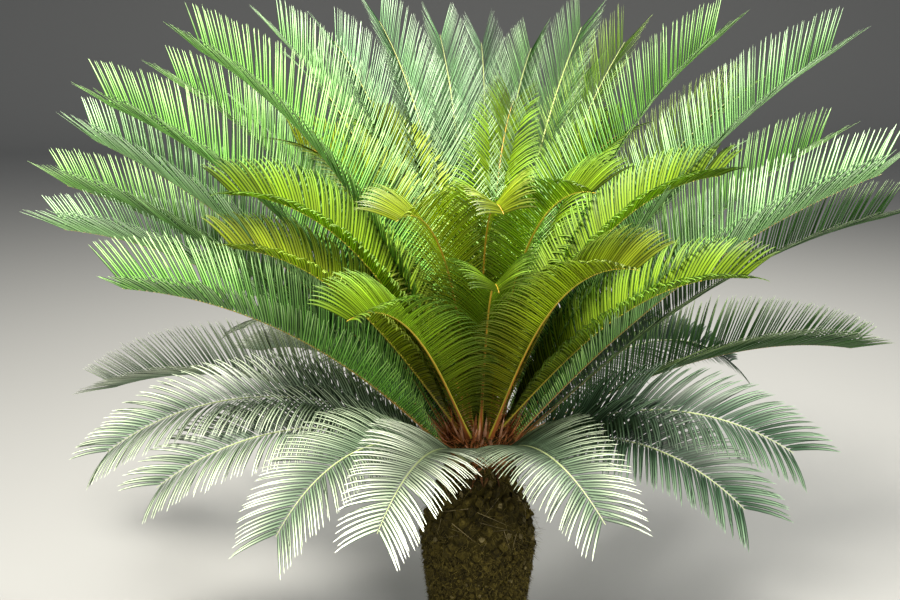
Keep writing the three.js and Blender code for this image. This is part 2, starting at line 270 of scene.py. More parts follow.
def makeStrands(name, template, strands, materials):
    # strands: place, across and face (count, rings, 3), width and thick (count, rings), share, tone and tint;
    # some pieces add rough, along (how far up the frond each grows) or endTint (for the cut ends)
    shape = template["shape"]
    ring = np.rint(shape[:, 1]).astype(int)
    x = shape[None, :, 0, None] * strands["width"][:, ring, None] / 2
    z = shape[None, :, 2, None] * strands["thick"][:, ring, None]
    points = strands["place"][:, ring] + strands["across"][:, ring] * x + strands["face"][:, ring] * z
    if "rough" in strands:
        points += strands["rough"]
    points[..., 2] = np.maximum(points[..., 2], 0)
    count, size = points.shape[:2]
    faces = [[corner + first for corner in face]
             for first in range(0, count * size, size) for face in template["faces"]]
    mesh = bpy.data.meshes.new(name)
    mesh.from_pydata(points.reshape(-1, 3), [], faces)
    addLayer(mesh, "leafShare", strands["share"][:, ring])
    addLayer(mesh, "leafSide", np.repeat(shape[None, :, 0], count, 0))
    addLayer(mesh, "leafTone", np.repeat(strands["tone"][:, None], size, 1))
    if "along" in strands:
        addLayer(mesh, "frondShare", np.repeat(strands["along"][:, None], size, 1))
    tint = np.repeat(strands["tint"], len(template["faces"]))
    if "endTint" in strands:
        tint = np.where(np.tile(template["ends"], count) == 1, strands["endTint"], tint)
    mesh.polygons.foreach_set("material_index", np.ascontiguousarray(tint, dtype=np.int32))
    for material in materials:
        mesh.materials.append(material)
    mesh.shade_smooth()
    mesh.set_sharp_from_angle(angle=math.radians(sharpAngle))
    return addObject(name, mesh)


def joinStrands(groups):
    return {key: np.concatenate([group[key] for group in groups]) for key in groups[0]}


def forEach(count, values):
    # the same row of values for each strand
    return np.repeat(np.asarray(values)[None], count, 0)


def bendStrands(root, way, blade, length, shares, bends):
    # follows each strand from its root: bends are (direction, amount, power) that turn it as it goes on
    stops = np.array(shares)
    middles = (stops[1:] + stops[:-1]) / 2

    def heading(share):
        turned = way[:, None, :] + np.zeros((1, len(share), 1))
        for direction, amount, power in bends:
            pull = np.broadcast_to(amount, len(way))[:, None] * share ** power
            turned = turned + direction[:, None, :] * pull[..., None]
        return unit(turned)

    steps = heading(middles) * (length[:, None] * np.diff(stops)[None])[..., None]
    place = np.concatenate([root[:, None], root[:, None] + np.cumsum(steps, axis=1)], axis=1)
    going = heading(stops)
    across = unit(blade[:, None] - going * np.sum(blade[:, None] * going, -1, keepdims=True))
    return place, going, across


# node groups shared by several materials
def addNode(tree, kind, inputs=None, **settings):
    # an input is a value, or an output of another node
    node = tree.nodes.new(kind)
    for key, value in settings.items():
        setattr(node, key, value)
    for key, value in (inputs or {}).items():
        if isinstance(value, bpy.types.NodeSocket):
            tree.links.new(value, node.inputs[key])
        else:
            node.inputs[key].default_value = value
    return node


def readLayer(tree, label):
    return addNode(tree, "ShaderNodeAttribute", attribute_name=label).outputs["Fac"]


def calculate(tree, operation, *values):
    return addNode(tree, "ShaderNodeMath", dict(enumerate(values)), operation=operation).outputs["Value"]


def blendColours(tree, factor, first, second, **settings):
    inputs = {"Factor": factor, "A": first, "B": second}
    return addNode(tree, "ShaderNodeMix", inputs, data_type="RGBA", **settings).outputs["Result"]


def shadeColour(tree, colour, tone, spread):
    # darker for a tone below zero and lighter for one above it
    value = calculate(tree, "MULTIPLY_ADD", tone, spread, 1.0)
    return addNode(tree, "ShaderNodeHueSaturation", {"Value": value, "Color": colour}).outputs["Color"]


def remap(tree, inputs, interpolation="SMOOTHSTEP"):
    return addNode(tree, "ShaderNodeMapRange", inputs, interpolation_type=interpolation).outputs["Result"]


def startGroup(name, inputs, outputs):
    group = bpy.data.node_groups.new(name, "ShaderNodeTree")
    for label, value in inputs.items():
        kind = "NodeSocketColor" if isinstance(value, tuple) else "NodeSocketFloat"
        socket = group.interface.new_socket(name=label, in_out="INPUT", socket_type=kind)
        socket.default_value = value
    for label, kind in outputs.items():
        group.interface.new_socket(name=label, in_out="OUTPUT", socket_type=kind)
    return group, group.nodes.new("NodeGroupInput").outputs


leafDetail = {"edgeBlur": 0.12, "grain": 700.0}
woodyDetail = {"streaks": 8.0, "streakRange": (0.35, 0.72), "specks": 260.0, "speckDepth": 0.4}


def buildLeafTint():
    # a pale midrib between deep edges, which on the leaflets are painted shade for the gaps between them,
    # darker and lighter leaflets, another colour at their tips, which on old and hanging leaflets is painted
    # sheen, and a tint that fades from the foot of the frond upwards
    blur = leafDetail["edgeBlur"]
    group, given = startGroup("leafTint", {
        "Leaf": (0.1, 0.3, 0.1, 1), "Tip": (0.3, 0.4, 0.1, 1), "Edge": (0.03, 0.1, 0.03, 1),
        "Foot": (1, 1, 1, 1), "Foot End": 0.5, "Midrib": 0.5, "Tip Start": 0.5, "Tip End": 1.0,
        "Spread": 0.3, "Patch Scale": 6.0,
    }, {"Colour": "NodeSocketColor", "Dullness": "NodeSocketFloat", "Height": "NodeSocketFloat"})
    place = addNode(group, "ShaderNodeTexCoord").outputs["Object"]
    tone = readLayer(group, "leafTone")
    toTip = remap(group, {
        "Value": readLayer(group, "leafShare"), "From Min": given["Tip Start"], "From Max": given["Tip End"]})
    leaf = blendColours(group, toTip, given["Leaf"], given["Tip"])
    # on the leaflets the Edge colour at their sides is painted shade
    away = calculate(group, "ABSOLUTE", readLayer(group, "leafSide"))
    past = calculate(group, "SUBTRACT", away, given["Midrib"])
    edges = remap(group, {"Value": past, "From Min": -blur, "From Max": blur})
    edgeShaded = blendColours(group, edges, leaf, given["Edge"])
    upFrond = remap(group, {"Value": readLayer(group, "frondShare"), "From Max": given["Foot End"]})
    foot = blendColours(group, upFrond, given["Foot"], (1, 1, 1, 1))
    footed = blendColours(group, 1.0, edgeShaded, foot, blend_type="MULTIPLY")
    patches = addNode(group, "ShaderNodeTexNoise", {
        "Vector": place, "Scale": given["Patch Scale"], "Detail": 2.0, "Roughness": 0.5})
    both = calculate(group, "ADD", tone, patches.outputs["Fac"])  # each is about a half
    shaded = shadeColour(group, footed, calculate(group, "SUBTRACT", both, 1.0), given["Spread"])
    grain = addNode(group, "ShaderNodeTexNoise", {
        "Vector": place, "Scale": leafDetail["grain"], "Detail": 2.0})
    addNode(group, "NodeGroupOutput", {"Colour": shaded, "Dullness": tone, "Height": grain.outputs["Fac"]})
    return group


def buildWoodyGrain():
    # dry plant matter: streaks stretched up the trunk, broken by fine specks
    detail = woodyDetail
    group, given = startGroup("woodyGrain", {
        "Dark": (0.02, 0.01, 0.005, 1), "Light": (0.2, 0.12, 0.06, 1),
        "Scale": 60.0, "Stretch": 3.0, "Spread": 0.5,
    }, {"Colour": "NodeSocketColor", "Height": "NodeSocketFloat"})
    place = addNode(group, "ShaderNodeTexCoord").outputs["Object"]
    squeeze = addNode(group, "ShaderNodeCombineXYZ", {
        "X": 1.0, "Y": 1.0, "Z": calculate(group, "DIVIDE", 1.0, given["Stretch"])})
    drawn = addNode(group, "ShaderNodeVectorMath", {
        0: place, 1: squeeze.outputs["Vector"]}, operation="MULTIPLY")
    streaks = addNode(group, "ShaderNodeTexNoise", {
        "Vector": drawn.outputs["Vector"], "Scale": given["Scale"], "Detail": detail["streaks"],
        "Roughness": 0.65,
    }).outputs["Fac"]
    specks = addNode(group, "ShaderNodeTexVoronoi", {
        "Vector": place, "Scale": detail["specks"]}, feature="F1")
    low, high = detail["streakRange"]
    contrast = remap(group, {"Value": streaks, "From Min": low, "From Max": high}, "LINEAR")
    wood = blendColours(group, contrast, given["Dark"], given["Light"])
    around = calculate(group, "SUBTRACT", readLayer(group, "leafTone"), 0.5)
    addNode(group, "NodeGroupOutput", {
        "Colour": shadeColour(group, wood, around, given["Spread"]),
        "Height": calculate(group, "MULTIPLY_ADD", specks.outputs["Distance"], detail["speckDepth"], streaks),
    })
    return group


leafTint = buildLeafTint()
woodyGrain = buildWoodyGrain()
leafBump = {"Strength": 0.12, "Distance": 0.0004}
# what the woody looks have in common
woodyBasics = {"stretch": 1, "spread": 1.2, "roughness": 0.95, "shine": 0.15, "bumpDistance": 0.002}


def startMaterial(name, group, inputs):
    material = bpy.data.materials.new(name)
    material.use_nodes = True
    tree = material.node_tree
    shader = tree.nodes["Principled BSDF"]
    effect = addNode(tree, "ShaderNodeGroup", inputs, node_tree=group)
    tree.links.new(effect.outputs["Colour"], shader.inputs["Base Color"])
    return material, tree, shader, effect


def addBump(tree, shader, effect, inputs):
    bump = addNode(tree, "ShaderNodeBump", {**inputs, "Height": effect.outputs["Height"]})
    tree.links.new(bump.outputs["Normal"], shader.inputs["Normal"])


def leafMaterial(name, look):
    colours = {key.capitalize(): (*look[key], 1) for key in ("leaf", "tip", "edge", "foot")}
    material, tree, shader, effect = startMaterial(name, leafTint, {
        **colours, "Foot End": look["footEnd"], "Midrib": look["midrib"],
        "Tip Start": look["tipRange"][0], "Tip End": look["tipRange"][1],
        "Spread": look["spread"], "Patch Scale": look["patches"],
    })
    low, high = look["roughness"]
    dull = remap(tree, {"Value": effect.outputs["Dullness"], "To Min": low, "To Max": high}, "LINEAR")
    tree.links.new(dull, shader.inputs["Roughness"])
    shader.inputs["Specular IOR Level"].default_value = look["shine"]
    addBump(tree, shader, effect, leafBump)
    if "glow" in look:
        # thin leaves let light through
        through = addNode(tree, "ShaderNodeBsdfTranslucent", {"Color": effect.outputs["Colour"]})
        both = addNode(tree, "ShaderNodeMixShader", {
            "Fac": look["glow"], 1: shader.outputs["BSDF"], 2: through.outputs["BSDF"]})
        tree.links.new(both.outputs["Shader"], tree.nodes["Material Output"].inputs["Surface"])
    return material


def woodyMaterial(name, look):
    look = {**woodyBasics, **look}
    material, tree, shader, effect = startMaterial(name, woodyGrain, {
        "Dark": (*look["dark"], 1), "Light": (*look["light"], 1),
        "Scale": look["scale"], "Stretch": look["stretch"], "Spread": look["spread"],
    })
    shader.inputs["Roughness"].default_value = look["roughness"]
    shader.inputs["Specular IOR Level"].default_value = look["shine"]
    addBump(tree, shader, effect, {"Strength": look["bump"], "Distance": look["bumpDistance"]})
    return material


# leaf colours: what the looks of one age have in common, and then each look
leafBasics = {
    "old": {"foot": (0.75, 0.92, 0.35), "footEnd": 0.75, "midrib": 0.44, "tipRange": (0.25, 1),
            "spread": 1.0, "patches": 5, "roughness": (0.42, 0.56), "shine": 0.3},
    # on young fronds the foot colour darkens the lower blade as painted shade
    "young": {"foot": (0.82, 0.66, 0.60), "footEnd": 0.6, "midrib": 0.55, "tipRange": (0.3, 1),
              "spread": 0.8, "patches": 7, "roughness": (0.42, 0.54), "shine": 0.22, "glow": 0.5},
    "hanging": {"foot": (0.62, 0.72, 0.60), "footEnd": 0.5, "midrib": 0.44, "tipRange": (0.15, 1),
                "spread": 1.0, "patches": 6, "roughness": (0.36, 0.5), "shine": 0.45},
}
leafLooks = {
    # in the old looks the leaf colour is the leaflets' green with painted shade towards their foot, and the
    # pale mint or silver tip colour is painted sheen
    "old": {
        "oldSilverSheen": {"leaf": (0.27, 0.48, 0.19), "tip": (0.68, 0.88, 0.58), "edge": (0.020, 0.085, 0.009),
                      "tipRange": (0.2, 1)},
        "oldMintSheen": {"leaf": (0.30, 0.51, 0.27), "tip": (0.76, 0.93, 0.70), "edge": (0.026, 0.085, 0.028),
                    "tipRange": (0.15, 1), "roughness": (0.40, 0.54), "shine": 0.4},
        "oldGreen": {"leaf": (0.21, 0.43, 0.10), "tip": (0.56, 0.80, 0.38), "edge": (0.017, 0.075, 0.006)},
        "oldLime": {"leaf": (0.31, 0.48, 0.07), "tip": (0.62, 0.79, 0.30), "edge": (0.034, 0.080, 0.004)},
        # an old look darkened as painted shade, for fronds low on the right, with a pale tip of painted
        # highlight
        "oldShaded": {"leaf": (0.030, 0.085, 0.014), "tip": (0.44, 0.56, 0.32), "edge": (0.006, 0.026, 0.004),
                    "midrib": 0.42, "tipRange": (0.5, 1), "spread": 0.9, "roughness": (0.36, 0.48)},
        "oldPale": {"leaf": (0.085, 0.145, 0.070), "tip": (0.60, 0.66, 0.50), "edge": (0.012, 0.028, 0.012),
                    "tipRange": (0.1, 1), "spread": 0.9, "patches": 6,
                    "roughness": (0.36, 0.5), "shine": 0.45},
    },
    "young": {
        "youngLime": {"leaf": (0.40, 0.50, 0.022), "tip": (0.43, 0.56, 0.10), "edge": (0.085, 0.135, 0.001)},
        "youngGreen": {"leaf": (0.29, 0.45, 0.020), "tip": (0.29, 0.48, 0.08), "edge": (0.055, 0.12, 0.001)},
    },
    # the hanging looks are lit and shaded copies: the first has a dark leaf colour of painted shade and a
    # pale tip of painted highlight, the second is darkened all over as painted shade, and the third is
    # lightened all over as painted light
    "hanging": {
        "hangingPale": {"leaf": (0.095, 0.14, 0.085), "tip": (0.40, 0.46, 0.33),
                        "edge": (0.012, 0.025, 0.012), "tipRange": (0.08, 0.9)},
        "hangingShaded": {"leaf": (0.020, 0.046, 0.024), "tip": (0.115, 0.175, 0.11),
                         "edge": (0.007, 0.018, 0.008), "shine": 0.25},
        "hangingLit": {"leaf": (0.30, 0.36, 0.25), "tip": (0.68, 0.72, 0.60), "edge": (0.020, 0.036, 0.018),
                         "midrib": 0.5, "tipRange": (0.05, 0.8), "spread": 0.9},
    },
}
leafMaterials = {
    age: {name: leafMaterial(name, {**leafBasics[age], **look}) for name, look in looks.items()}
    for age, looks in leafLooks.items()
}
# how often each look of its age, in the order above, is dealt in a ring of fronds
leafShares = {
    "crest": (0.6, 0.3, 0.1, 0, 0, 0), "plume": (0.5, 0.5, 0, 0, 0, 0), "shoulder": (0.6, 0, 0.4, 0, 0, 0),
    "wing": (0.5, 0, 0.4, 0, 0.1, 0), "spread": (0.3, 0, 0.3, 0.2, 0.2, 0), "skirt": (0, 0, 0.3, 0, 0.4, 0.3),
    "young_front": (0.5, 0.5), "young_middle": (0.6, 0.4), "young_back": (0.6, 0.4),
    "hanging": (0.65, 0.35, 0),
}
# fronds whose look is chosen, not dealt
chosenFronds = {
    "oldSilverSheen": "crest_02 crest_04 crest_07 plume_02 shoulder_07 wing_01 wing_07 spread_02",
    "oldMintSheen": "crest_03 crest_05 crest_06 plume_01",
    "oldGreen": "crest_01 crest_09 wing_06 spread_01",
    "oldLime": "crest_08 shoulder_06",
    "oldShaded": "spread_06 skirt_05",
    "oldPale": "skirt_01",
    "youngGreen": "young_front_02 young_front_03",
    "hangingPale": "hanging_01 hanging_02 hanging_03 hanging_05",
    "hangingShaded": "hanging_06 hanging_07 hanging_08",
    "hangingLit": "hanging_04",
}
leafChoices = {node: look for look, nodes in chosenFronds.items() for node in nodes.split()}
print("leaf materials ready")

# how leaflets grow: the space between them, their size and twist, and how they curve forward and droop.
# A pair of values is for the blade's foot and its tip.
# painted light and shade on the leaflets' tone, by their place up the frond: darker at the foot and tip of
# young fronds, lighter further out on old and hanging fronds
leafletGrowth = {
    "old": {"gap": (0.0060, 0.0060), "width": 0.0062, "thick": 0.0014, "lengthSpread": 0.025,
            "twist": 20, "lift": 5, "turn": 24, "tiltSpread": 1.1, "forward": 0.04,
            "droop": (0.10, 0.10), "frontDroop": 0, "droopPower": 1.6,
            "taper": (0.55, 1, 1, 0.95, 0.78, 0.45, 0), "paintedLightAlong": (0, 0, 0.1, 0.1)},
    "young": {"gap": (0.0050, 0.0066), "width": 0.0066, "thick": 0.0013, "lengthSpread": 0.025,
              "twist": 14, "lift": 6, "turn": 20, "tiltSpread": 1.2, "forward": 0,
              "droop": (1.15, 0.45), "frontDroop": 0, "droopPower": 2.2,
              "taper": (0.7, 1.1, 1.15, 1.15, 0.95, 0.5, 0), "paintedLightAlong": (-0.4, 0.3, 0.1, -0.6)},
    "hanging": {"gap": (0.0064, 0.0072), "width": 0.0072, "thick": 0.0017, "lengthSpread": 0.03,
                "twist": 16, "lift": 16, "turn": 24, "tiltSpread": 1.6, "forward": 0.05,
                "droop": (0.45, 0.40), "frontDroop": 0.55, "droopPower": 1.7,
                "taper": (0.55, 1, 1, 0.95, 0.78, 0.45, 0), "paintedLightAlong": (-0.1, 0, 0.25, 0.25)},
}
leafletShape = {
    "rings": (0, 0.1, 0.3, 0.52, 0.74, 0.9, 1), "countSteps": 200, "jitter": 0.25, "twistSpread": 4,
    "rootOut": 0.35, "rootUp": 0.2,  # shares of the rachis's width and thickness
    "clearance": 0.004, "tone": 0.5, "toneSpread": 0.2, "paintedLightStops": (0, 0.5, 0.8, 1),
}
leafletTemplate = strandTemplate(ridgedCorners, len(leafletShape["rings"]), True)


def leafletSlant(plan, u):
    return mix(plan["slant"], plan["slantAtTip"], u ** frondBuild["slantPower"])


def leafletStations(plan, growth):
    # where the pairs stand along the blade, as shares of it, with the spines below its foot
    count = leafletShape["countSteps"]
    steps = np.linspace(0, 1, count)
    # they stand closer where they lean forward less, so that the space between them is even
    lean = np.radians(leafletSlant(plan, steps))
    counted = np.cumsum(np.sin(lean) / mix(*growth["gap"], steps)) / count * plan["length"] * (1 - bladeStart)
    pairs = int(counted[-1])
    spines = int(pairs * frondBuild["spineReach"])
    stations = np.interp(np.arange(pairs) + 0.5, counted, steps)
    return pairs, np.concatenate([(np.arange(-spines, 0) + 0.5) / pairs, stations])


def growLeaflets(plan, growth, tint):
    rng = np.random.default_rng(plan["seed"])
    build = frondBuild
    shape = leafletShape
    pairs, stations = leafletStations(plan, growth)
    u = np.tile(stations, 2)
    hand = np.repeat([1.0, -1.0], len(stations))
    u = np.minimum(u + rng.uniform(-shape["jitter"], shape["jitter"], len(u)) / pairs, 1)
    s = mix(bladeStart, 1, u)
    spine = np.clip(-u / build["spineReach"], 0, 1)  # below the blade the leaflets dwindle to spines
    u = np.maximum(u, 0)
    place, along, side, up = sampleLine(frondLine(plan), s)
    # the fronds turn their faces a little towards the open side, -Y
    side, up = rotate(side, up, np.radians(growth["turn"]) * side[:, 1:2])
    slant = np.radians(leafletSlant(plan, u) + rng.normal(0, growth["tiltSpread"], len(u)))
    keel = np.radians(plan["keel"] + growth["lift"] + rng.normal(0, growth["tiltSpread"], len(u)))
    out = side * hand[:, None]
    way = (along * np.cos(slant)[:, None] + out * (np.sin(slant) * np.cos(keel))[:, None]
           + up * (np.sin(slant) * np.sin(keel))[:, None])
    grown = mix(build["lowest"], 1, np.minimum(1, u / build["fullBy"]))
    grown *= mix(1, build["atTip"], u ** build["tipPower"])
    grown *= mix(1, build["lastSpine"], np.sqrt(spine))
    length = plan["leaflet"] * grown * (1 + rng.normal(0, growth["lengthSpread"], len(u)))
    width, thick = rachisSize(s)
    root = place + out * (width * shape["rootOut"])[:, None] + up * (thick * shape["rootUp"])[:, None]
    down = np.zeros_like(up)
    down[:, 2] = -1
    if plan["age"] == "young":
        down = unit(down - up)  # young leaflets also curl back from the face of the frond
    droop = mix(*growth["droop"], u) + growth["frontDroop"] * np.maximum(0, -out[:, 1])
    bends = [(along, growth["forward"], 1.0), (down, droop, growth["droopPower"])]
    centre, going, across = bendStrands(root, way, along, length, shape["rings"], bends)
    face = np.cross(going, across) * hand[:, None, None]
    twist = np.radians(growth["twist"] + rng.normal(0, shape["twistSpread"], len(u)))
    across, face = rotate(across, face, twist[:, None, None])
    taper = np.array(growth["taper"])
    # none grows into the trunk
    reach = np.hypot(centre[..., 0], centre[..., 1])
    clear = (reach > trunkRadius(centre[..., 2]) + shape["clearance"]) | (centre[..., 2] > trunk["topHeight"])
    clear[:, 0] = True
    kept = clear.all(axis=1)
    count = int(kept.sum())
    tone = np.clip(rng.normal(shape["tone"], shape["toneSpread"], count), 0, 1)
    return {
        "place": centre[kept],
        "across": (-hand[:, None, None] * across)[kept],
        "face": face[kept],
        "width": forEach(count, taper * growth["width"]),
        "thick": forEach(count, taper * growth["thick"]),
        "share": forEach(count, shape["rings"]),
        # the tone gets painted light and shade by the leaflet's place up the frond
        "tone": tone + np.interp(u[kept], shape["paintedLightStops"], growth["paintedLightAlong"]),
        "tint": np.full(count, tint), "along": u[kept],
    }


rachisShape = {
    "corners": [(math.cos(a), math.sin(a) / 2) for a in np.linspace(0, 2 * math.pi, 8, endpoint=False)],
    "rings": 44, "crowd": 1.2, "sink": 0.012, "slim": 0.64, "swell": 1.1, "swellLength": 0.08,
    "fineFrom": 0.7, "fine": 0.35, "tone": 0.5, "toneSpread": 0.35,
}
rachisTemplate = strandTemplate(rachisShape["corners"], rachisShape["rings"], False)


def growRachis(plan):
    # a flattened stalk, swollen where it leaves the trunk and fine at its tip
    shape = rachisShape
    stops = np.linspace(0, 1, shape["rings"]) ** shape["crowd"]
    place, along, side, up = sampleLine(frondLine(plan), stops)
    place[0] -= along[0] * shape["sink"]
    width, thick = rachisSize(stops)
    swell = shape["slim"] * (1 + shape["swell"] * np.exp(-stops / shape["swellLength"]))
    thin = np.interp(stops, (shape["fineFrom"], 1), (1, shape["fine"]))
    tone = shape["tone"] + shape["toneSpread"] * wobble(plan["seed"], 9)
    return {
        "place": place[None], "across": side[None], "face": -up[None],
        "width": (width * swell * thin)[None], "thick": (thick * swell * thin)[None],
        "share": stops[None], "tone": np.array([tone]), "tint": np.array([0]),
    }


rachisBasics = {"foot": (1, 1, 1), "footEnd": 1, "midrib": 0.7, "spread": 0.35, "patches": 9,
                "roughness": (0.42, 0.5), "shine": 0.4}
rachisLooks = {
    # the old rachis's peach foot colour is its own tan lifted into a painted highlight
    "old": {"leaf": (0.88, 0.48, 0.20), "tip": (0.34, 0.45, 0.14), "edge": (0.30, 0.16, 0.03),
            "tipRange": (0.08, 0.38), "spread": 0.5},
    "young": {"leaf": (0.42, 0.13, 0.03), "tip": (0.50, 0.27, 0.02), "edge": (0.56, 0.50, 0.05),
              "tipRange": (0.05, 0.6)},
    "hanging": {"leaf": (0.26, 0.17, 0.06), "tip": (0.40, 0.46, 0.22), "edge": (0.26, 0.32, 0.14),
                "tipRange": (0.03, 0.2), "midrib": 0.75},
}
rachisMaterials = {
    age: leafMaterial(f"{age}Rachis", {**rachisBasics, **look}) for age, look in rachisLooks.items()}


def dressTier(tier):
    age = tier["age"]
    plans = planTier(tier)
    rng = np.random.default_rng(tier["seed"])
    looks = list(leafMaterials[age])
    deal = rng.choice(len(looks), len(plans), p=leafShares[tier["name"]])
    tints = [looks.index(leafChoices.get(plan["node"], looks[dealt])) for plan, dealt in zip(plans, deal)]
    leaflets = joinStrands([
        growLeaflets(plan, leafletGrowth[age], tint) for plan, tint in zip(plans, tints)])
    title = "".join(word.capitalize() for word in tier["name"].split("_"))
    piece = makeStrands(f"leaflets{title}", leafletTemplate, leaflets, leafMaterials[age].values())
    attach(piece, "root")
    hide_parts(*[plan["node"] for plan in plans])
    rachises = joinStrands([growRachis(plan) for plan in plans])
    stalk = makeStrands(f"rachises{title}", rachisTemplate, rachises, [rachisMaterials[age]])
    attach(stalk, "root")
    print(piece.name, len(piece.data.polygons), "faces")


for tier in frondTiers:
    dressTier(tier)

# the trunk: a rough core, leaf bases in spirals, and loose fibres
trunkLook = {"core": 0.007, "segments": 84, "levels": 70, "merge": 0.00005, "flatBelow": 0.001,
             "roughness": 0.0045, "grain": 46, "fade": 1.0, "finer": 2.0, "octaves": 4, "tone": 0.5}
trunkWoods = {
    "bark": {"dark": (0.010, 0.008, 0.001), "light": (0.052, 0.040, 0.006), "scale": 55, "stretch": 2.5,
             "spread": 0, "bump": 0.9},
    "leafBase": {"dark": (0.014, 0.011, 0.002), "light": (0.076, 0.058, 0.009), "scale": 90, "stretch": 1.5,
                 "spread": 1.1, "roughness": 0.92, "bump": 0.8},
    "leafBaseEnd": {"dark": (0.016, 0.012, 0.003), "light": (0.105, 0.080, 0.015), "scale": 130, "bump": 0.9},
    "paleBaseEnd": {"dark": (0.06, 0.046, 0.016), "light": (0.26, 0.21, 0.09), "scale": 150,
                    "spread": 0.9, "bump": 0.9},
    "barkHair": {"dark": (0.022, 0.017, 0.003), "light": (0.18, 0.138, 0.028), "scale": 80,
                 "spread": 1.4, "roughness": 0.9, "shine": 0.2, "bump": 0.3},
    "straw": {"dark": (0.08, 0.060, 0.024), "light": (0.34, 0.27, 0.12), "scale": 80,
              "roughness": 0.8, "shine": 0.3, "bump": 0.3},
}
trunkMaterials = {name: woodyMaterial(name, look) for name, look in trunkWoods.items()}


def meshFrom(bm, name):
    mesh = bpy.data.meshes.new(name)
    bm.to_mesh(mesh)
    bm.free()
    mesh.shade_smooth()
    return mesh


def makeTrunkCore():
    look = trunkLook
    bm = bmesh.new()
    heights = np.linspace(0, trunk["topHeight"], look["levels"])
    radii = trunkRadius(heights) - look["core"]
    line = [bm.verts.new((0, 0, 0))]
    line += [bm.verts.new((radius, 0, z)) for radius, z in zip(radii, heights)]
    line.append(bm.verts.new((0, 0, trunk["topHeight"])))
    edges = [bm.edges.new(pair) for pair in zip(line, line[1:])]
    bmesh.ops.spin(bm, geom=line + edges, cent=(0, 0, 0), axis=(0, 0, 1), dvec=(0, 0, 0),
                   angle=2 * math.pi, steps=look["segments"], use_merge=True)
    bmesh.ops.remove_doubles(bm, verts=bm.verts, dist=look["merge"])
    bmesh.ops.recalc_face_normals(bm, faces=bm.faces)
    for vert in bm.verts:
        if vert.co.z > look["flatBelow"]:
            out = Vector((vert.co.x, vert.co.y, 0)).normalized()
            bumps = noise.fractal(vert.co * look["grain"], look["fade"], look["finer"], look["octaves"])
            vert.co += out * bumps * look["roughness"]
    mesh = meshFrom(bm, "trunkCore")
    addLayer(mesh, "leafTone", np.full(len(mesh.vertices), look["tone"]))
    mesh.materials.append(trunkMaterials["bark"])
    return addObject("trunkCore", mesh)


# the leaf bases of the upper trunk are broken stubs, and those of the lower trunk are worn and pressed flat
stubRings = [
    {"low": 0.240, "high": 0.470, "rows": 11, "columns": 20, "length": (0.007, 0.017), "spread": 0.45,
     "width": 0.80, "height": 0.78, "lean": 0.7, "lost": 0.14, "jog": 0.0045, "slip": 0.15, "turn": 0.35,
     "ends": (0.80, 0.50), "rough": 0.0012, "pale": 0.13, "seed": 41},
    {"low": 0.012, "high": 0.238, "rows": 33, "columns": 50, "length": (0.003, 0.006), "spread": 0.5,
     "width": 0.95, "height": 0.9, "lean": 0.4, "lost": 0.06, "jog": 0.0022, "slip": 0.14, "turn": 0.25,
     "ends": (0.86, 0.60), "rough": 0.0009, "pale": 0.02, "seed": 43},
]
stubShape = {
    "corners": ((-1, 0), (-0.5, -0.3), (-0.05, -0.5), (0.45, -0.34),
                (1, 0), (0.5, 0.3), (0.05, 0.5), (-0.45, 0.34)),
    "sink": 0.012, "rings": (0, 0.6, 1), "shortest": 0.003, "rowStart": 0.2, "leanSpread": 0.25,
    "sideSpread": 0.12, "nudge": 0.0007, "endSlant": 0.35, "ringSpread": 0.14, "sizeSpread": 0.16,
}
# the first stop is a depth below the core's surface, and the others are shares of the length
stubStops = np.array([-stubShape["sink"], *stubShape["rings"]])
stubTemplate = strandTemplate(stubShape["corners"], len(stubStops), False)


